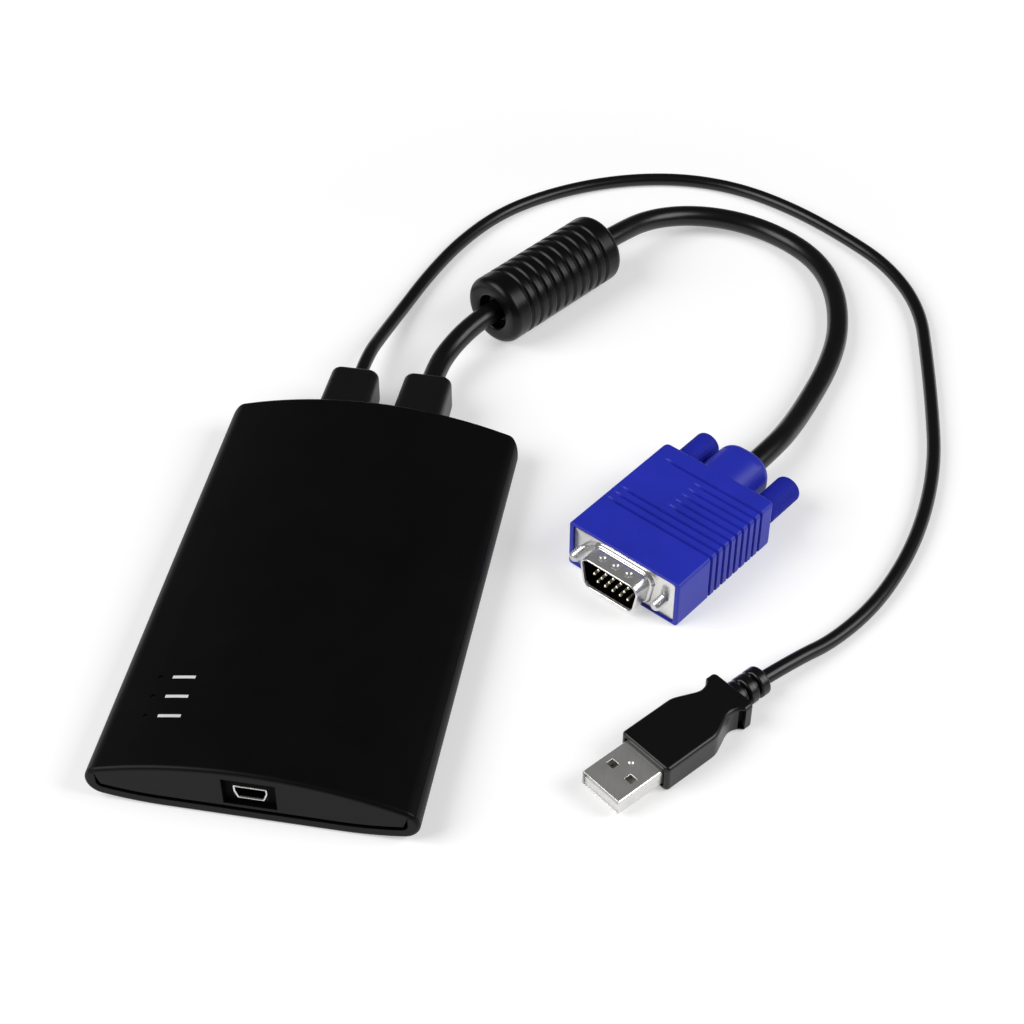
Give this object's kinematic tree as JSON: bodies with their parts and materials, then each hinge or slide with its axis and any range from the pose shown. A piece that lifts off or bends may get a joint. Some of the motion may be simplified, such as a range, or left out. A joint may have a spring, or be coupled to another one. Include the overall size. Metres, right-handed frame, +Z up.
{
  "type": "crash cart adapter",
  "caption": "Flat black adapter case with an arched top, a small USB socket in front, and two captive leads: one to a USB-A plug, one through a ferrite bead to a blue video plug.",
  "frame": {"origin": "under the middle of the case, at its base", "axes": "+Z up; +Y from the front panel with the socket to the rear panel with the leads; +X to the right"},
  "size_m": [0.1825, 0.2556, 0.0195],
  "materials": {
    "case": "fine matt black",
    "screw_steel": "plated",
    "board": "green solder mask",
    "chip": "moulded black",
    "tin_can": "satin can",
    "capacitor_can": "satin can",
    "header": "ivory",
    "lamp": "clear",
    "light_pipe": "smoked clear",
    "plated_shell": "nickel plated",
    "black_block": "moulded black",
    "white_block": "moulded white",
    "contact_gold": "gold flash",
    "boot": "satin black",
    "wire": "insulated",
    "cable_jacket": "satin black",
    "bead_jacket": "satin black",
    "ferrite": "sintered",
    "blue_grip": "satin blue",
    "plug_grip": "satin black"
  },
  "bodies": {
    "adapter": {"upper_shell": "case", "lower_shell": "case", "case_screws": "screw_steel", "circuit_board": "board", "video_chip": "chip", "usb_chip": "chip", "memory_chip": "chip", "clock_crystal": "tin_can", "capacitors": "capacitor_can", "usb_header": "header", "vga_header": "header", "status_leds": "lamp", "light_pipes": "light_pipe", "mini_usb_shell": "plated_shell", "mini_usb_tongue": "black_block", "mini_usb_contacts": "contact_gold", "usb_boot": "boot", "vga_boot": "boot", "usb_wires": "wire", "vga_wires": "wire", "usb_cable": "cable_jacket", "vga_cable": "cable_jacket", "ferrite_jacket": "bead_jacket", "ferrite_core": "ferrite", "vga_hood": "blue_grip", "vga_shell": "plated_shell", "vga_insulator": "black_block", "vga_pins": "contact_gold", "usb_overmould": "plug_grip", "usb_plug_shell": "plated_shell", "usb_plug_insulator": "white_block", "usb_plug_contacts": "contact_gold"},
    "left_screw": {"left_thumbscrew": "screw_steel", "left_knob": "blue_grip"},
    "right_screw": {"right_thumbscrew": "screw_steel", "right_knob": "blue_grip"}
  },
  "joints": [
    {"name": "left_screw_turn", "type": "hinge", "parent": "adapter", "child": "left_screw", "pos_m": [0.07829, 0.05871, 0.00695], "axis": [0.5105, 0.8599, 0], "continuous": true},
    {"name": "right_screw_turn", "type": "hinge", "parent": "adapter", "child": "right_screw", "pos_m": [0.09979, 0.04595, 0.00695], "axis": [0.5105, 0.8599, 0], "continuous": true}
  ]
}
